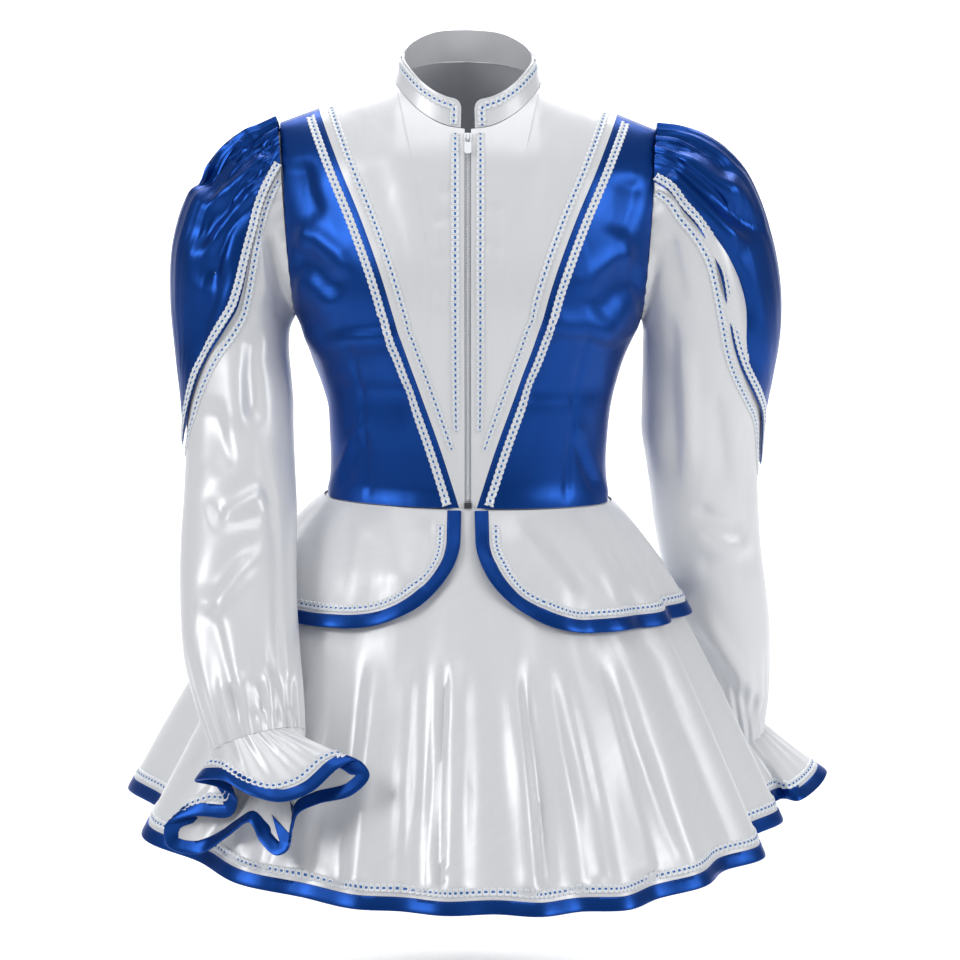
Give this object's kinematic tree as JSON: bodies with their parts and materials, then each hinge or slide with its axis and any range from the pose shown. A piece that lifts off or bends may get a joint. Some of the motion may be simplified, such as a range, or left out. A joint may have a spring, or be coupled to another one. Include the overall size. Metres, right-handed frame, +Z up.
{
  "type": "majorette dress",
  "caption": "Short hollow dress with a standing collar, front zip, long sleeves with pointed caps, frilled wrists, a peplum open at the front and a flared skirt.",
  "frame": {"origin": "between the shoulders, where the wearer holds the dress up", "axes": "+Z up, -Y to the front of the dress, +X to the wearer's left"},
  "size_m": [0.6787, 0.5323, 0.7667],
  "materials": {
    "white_satin": "satin, shiny face out",
    "blue_satin": "satin, shiny face out",
    "braid": "woven braid with blue centre stitches",
    "zip_tape": "woven tape with a plastic coil",
    "zip_enamel": "gloss enamel",
    "zip_steel": "dark"
  },
  "bodies": {
    "garment": {"front_yoke_left": "white_satin", "side_front_left": "blue_satin", "seam_braid_blue_left": "braid", "seam_braid_white_left": "braid", "zip_braid_left": "braid", "front_yoke_right": "white_satin", "side_front_right": "blue_satin", "seam_braid_blue_right": "braid", "seam_braid_white_right": "braid", "zip_braid_right": "braid", "back": "blue_satin", "collar": "white_satin", "collar_braid": "braid", "sleeve_left": "white_satin", "sleeve_cap_left": "blue_satin", "sleeve_cap_braid_left": "braid", "sleeve_braid_left": "braid", "wrist_frill_left": "white_satin", "wrist_binding_left": "blue_satin", "wrist_braid_left": "braid", "sleeve_right": "white_satin", "sleeve_cap_right": "blue_satin", "sleeve_cap_braid_right": "braid", "sleeve_braid_right": "braid", "wrist_frill_right": "white_satin", "wrist_binding_right": "blue_satin", "wrist_braid_right": "braid", "skirt": "white_satin", "skirt_binding": "blue_satin", "skirt_braid": "braid", "peplum": "white_satin", "peplum_binding": "blue_satin", "peplum_braid": "braid", "zip_tape": "zip_tape", "zip_slider": "zip_enamel", "zip_bottom_stop": "zip_steel"},
    "zip_pull": {"zip_pull": "zip_enamel"}
  },
  "joints": [
    {"name": "zip_pull_hinge", "type": "hinge", "parent": "garment", "child": "zip_pull", "pos_m": [0, -0.07844, -0.03501], "axis": [-1, 0, 0], "range_deg": [0, 150]}
  ]
}
